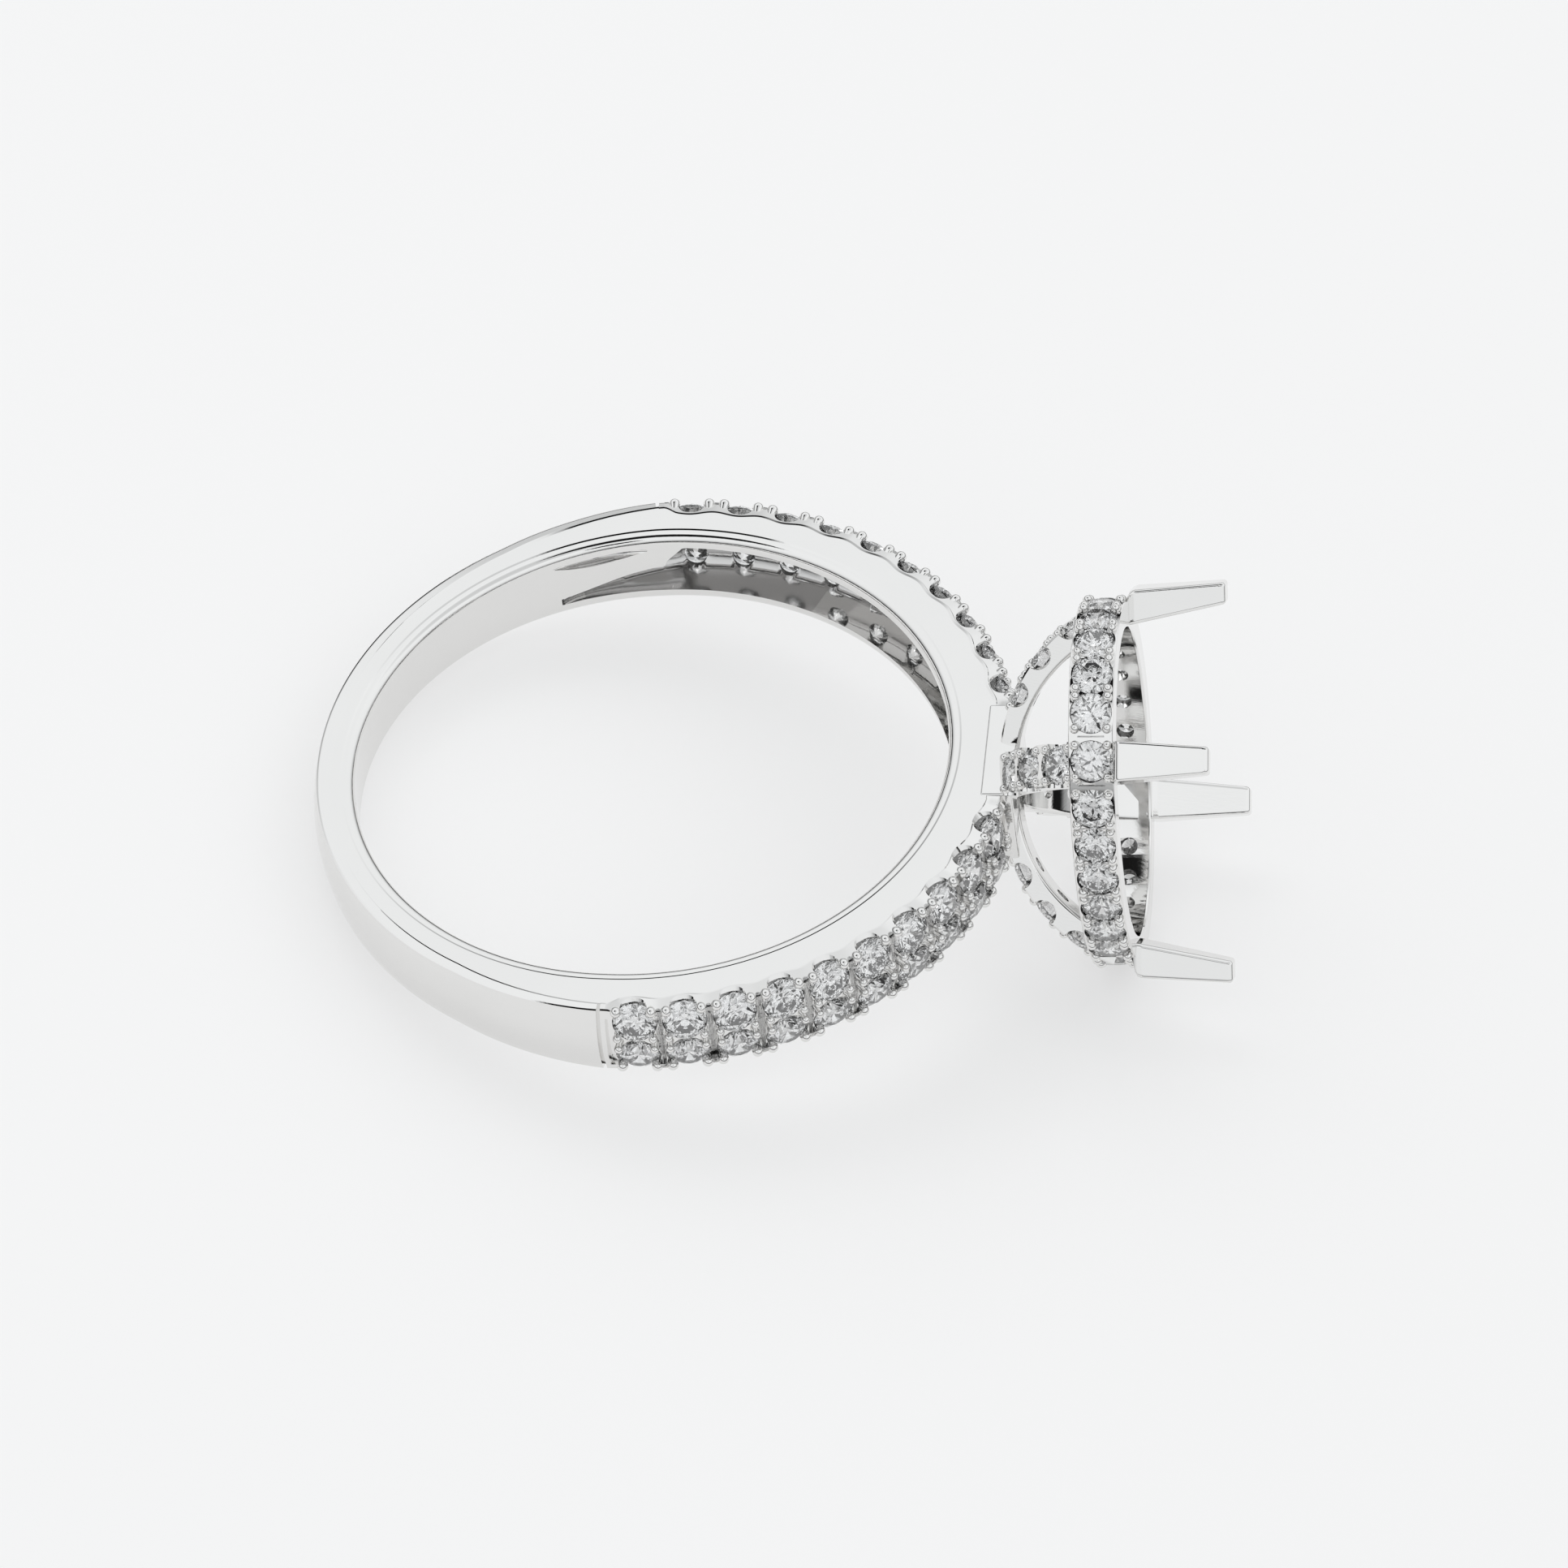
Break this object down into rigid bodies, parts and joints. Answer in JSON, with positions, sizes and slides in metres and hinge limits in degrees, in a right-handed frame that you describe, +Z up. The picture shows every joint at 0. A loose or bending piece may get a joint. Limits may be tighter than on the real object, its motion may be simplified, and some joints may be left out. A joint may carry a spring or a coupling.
{
  "type": "semi mount ring setting",
  "caption": "Polished white metal ring setting with stone-set shoulders, an oval side halo on a four-arm basket and four open prongs for an oval centre stone.",
  "frame": {"origin": "on the surface that the ring lies on, below the middle of its bounding box", "axes": "+Z up; the ring lies on its side, its head to +X, so the finger's axis leans from +Z towards -X by the angle at which it rests; the ring is symmetric about the XZ plane"},
  "size_m": [0.0266, 0.0206, 0.0118],
  "materials": {
    "white_gold": "mirror-polished white gold with rhodium plating",
    "diamond": "clear brilliant cut stones"
  },
  "bodies": {
    "root": {"ring_mount": "white_gold", "far_shoulder_stones": "diamond", "near_shoulder_stones": "diamond", "arm_stones": "diamond", "halo_stones": "diamond"}
  },
  "joints": []
}
